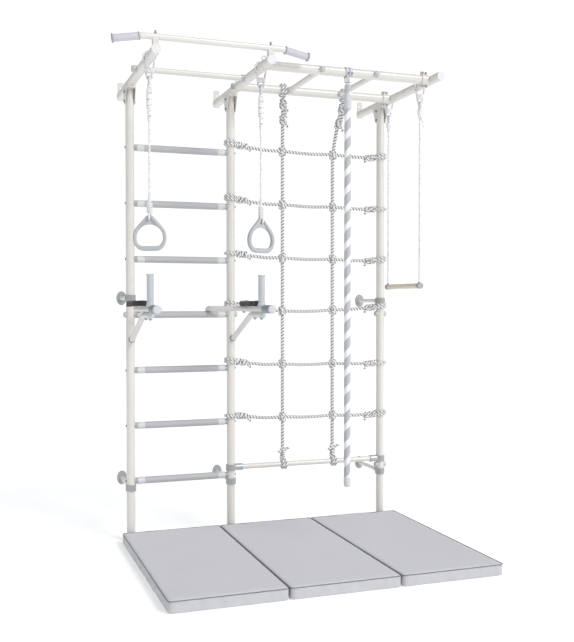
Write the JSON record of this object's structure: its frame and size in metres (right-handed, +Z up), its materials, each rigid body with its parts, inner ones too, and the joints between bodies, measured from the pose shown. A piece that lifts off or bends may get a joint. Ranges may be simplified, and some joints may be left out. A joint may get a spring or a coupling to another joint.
{
  "type": "wall-mounted home gym",
  "caption": "Wall-mounted home gym with rungs, pull-up bar, dip arms, hand rings, trapeze, climbing rope, rope net and folding floor mat.",
  "frame": {"origin": "on the floor, in the middle of the object's width and depth", "axes": "+Z up, +Y towards the wall, +X along the wall from the rungs to the trapeze"},
  "size_m": [1.6161, 1.39, 2.3406],
  "materials": {
    "frame_ivory": "satin powder coat",
    "hidden_steel": "plain",
    "grey_plastic": "moulded",
    "light_plastic": "moulded",
    "dark_rubber": "matte",
    "bolt_steel": "plated",
    "clamp_metal": "satin",
    "rung_grip": "ribbed",
    "rung_collar": "ribbed",
    "net_rope": "twisted rope",
    "tackle_rope": "braided rope",
    "climb_rope": "twisted rope, two colours",
    "ring_plastic": "moulded",
    "trapeze_wood": "sanded",
    "webbing": "woven",
    "mat_cover": "coated"
  },
  "bodies": {
    "frame": {"lower_posts": "frame_ivory", "upper_posts": "frame_ivory", "post_spigots": "hidden_steel", "post_feet": "grey_plastic", "overhead_arms": "frame_ivory", "arm_end_caps": "light_plastic", "wall_plates": "frame_ivory", "arm_saddles": "frame_ivory", "frame_bolts": "bolt_steel", "front_beam": "frame_ivory", "rear_beam": "frame_ivory", "tube_clamps": "clamp_metal", "overhead_rungs": "frame_ivory", "end_knobs": "grey_plastic", "ladder_top_bar": "frame_ivory", "rung_tubes": "hidden_steel", "rung_grips": "rung_grip", "rung_collars": "rung_collar", "rung_sleeves": "grey_plastic", "pull_up_bar": "frame_ivory", "pull_up_grips": "rung_grip", "pull_up_saddles": "frame_ivory", "wall_stays": "clamp_metal", "net_bar": "frame_ivory", "net_column_left": "net_rope", "net_column_right": "net_rope", "net_knots": "net_rope", "net_row_1": "net_rope", "net_row_2": "net_rope", "net_row_3": "net_rope", "net_row_4": "net_rope", "net_row_5": "net_rope", "net_row_6": "net_rope"},
    "left_ring_sling": {"left_ring_sling": "tackle_rope"},
    "left_ring": {"left_ring_rope": "tackle_rope", "left_ring_splices": "tackle_rope", "left_ring": "ring_plastic"},
    "right_ring_sling": {"right_ring_sling": "tackle_rope"},
    "right_ring": {"right_ring_rope": "tackle_rope", "right_ring_splices": "tackle_rope", "right_ring": "ring_plastic"},
    "trapeze": {"trapeze_splices": "tackle_rope", "trapeze_rope_front": "tackle_rope", "trapeze_rope_rear": "tackle_rope", "trapeze_bar": "trapeze_wood", "trapeze_bar_caps": "grey_plastic"},
    "climbing_rope_hanger": {"climbing_rope_hanger": "tackle_rope"},
    "climbing_rope": {"climbing_rope": "climb_rope", "climbing_rope_ends": "light_plastic"},
    "left_dip": {"left_dip_arm": "frame_ivory", "left_dip_brace": "frame_ivory", "left_dip_grips": "light_plastic", "left_dip_strap": "webbing"},
    "right_dip": {"right_dip_arm": "frame_ivory", "right_dip_brace": "frame_ivory", "right_dip_grips": "light_plastic", "right_dip_strap": "webbing"},
    "mat_left": {"mat_left": "mat_cover"},
    "mat_middle": {"mat_middle": "mat_cover"},
    "mat_right": {"mat_right": "mat_cover"}
  },
  "joints": [
    {"name": "left_ring_sway", "type": "hinge", "parent": "frame", "child": "left_ring_sling", "pos_m": [-0.621, -0.089, 2.258], "axis": [0, 1, 0], "range_deg": [-20, 20]},
    {"name": "left_ring_swing", "type": "hinge", "parent": "left_ring_sling", "child": "left_ring", "pos_m": [-0.621, -0.089, 2.166], "axis": [1, 0, 0], "range_deg": [-55, 28]},
    {"name": "right_ring_sway", "type": "hinge", "parent": "frame", "child": "right_ring_sling", "pos_m": [-0.106, -0.089, 2.258], "axis": [0, 1, 0], "range_deg": [-18, 18]},
    {"name": "right_ring_swing", "type": "hinge", "parent": "right_ring_sling", "child": "right_ring", "pos_m": [-0.106, -0.089, 2.166], "axis": [1, 0, 0], "range_deg": [-55, 28]},
    {"name": "trapeze_sway", "type": "hinge", "parent": "frame", "child": "trapeze", "pos_m": [0.739, -0.035, 2.258], "axis": [0, 1, 0], "range_deg": [-60, 60]},
    {"name": "climbing_rope_swing", "type": "hinge", "parent": "frame", "child": "climbing_rope_hanger", "pos_m": [0.301, -0.147, 2.258], "axis": [1, 0, 0], "range_deg": [-60, 13]},
    {"name": "climbing_rope_sway", "type": "hinge", "parent": "climbing_rope_hanger", "child": "climbing_rope", "pos_m": [0.301, -0.147, 2.217], "axis": [0, 1, 0], "range_deg": [-16, 16]},
    {"name": "left_dip_lift", "type": "slide", "parent": "frame", "child": "left_dip", "axis": [0, 0, 1], "range_m": [0, 0.06]},
    {"name": "right_dip_lift", "type": "slide", "parent": "frame", "child": "right_dip", "axis": [0, 0, 1], "range_m": [0, 0.06]},
    {"name": "mat_pull_out", "type": "slide", "parent": "frame", "child": "mat_middle", "axis": [0, -1, 0], "range_m": [0, 0.6]},
    {"name": "mat_left_fold", "type": "hinge", "parent": "mat_middle", "child": "mat_left", "pos_m": [-0.177, -0.154, 0.055], "axis": [0, 1, 0], "range_deg": [0, 180]},
    {"name": "mat_right_fold", "type": "hinge", "parent": "mat_middle", "child": "mat_right", "pos_m": [0.319, -0.154, 0.055], "axis": [0, -1, 0], "range_deg": [0, 80]}
  ]
}
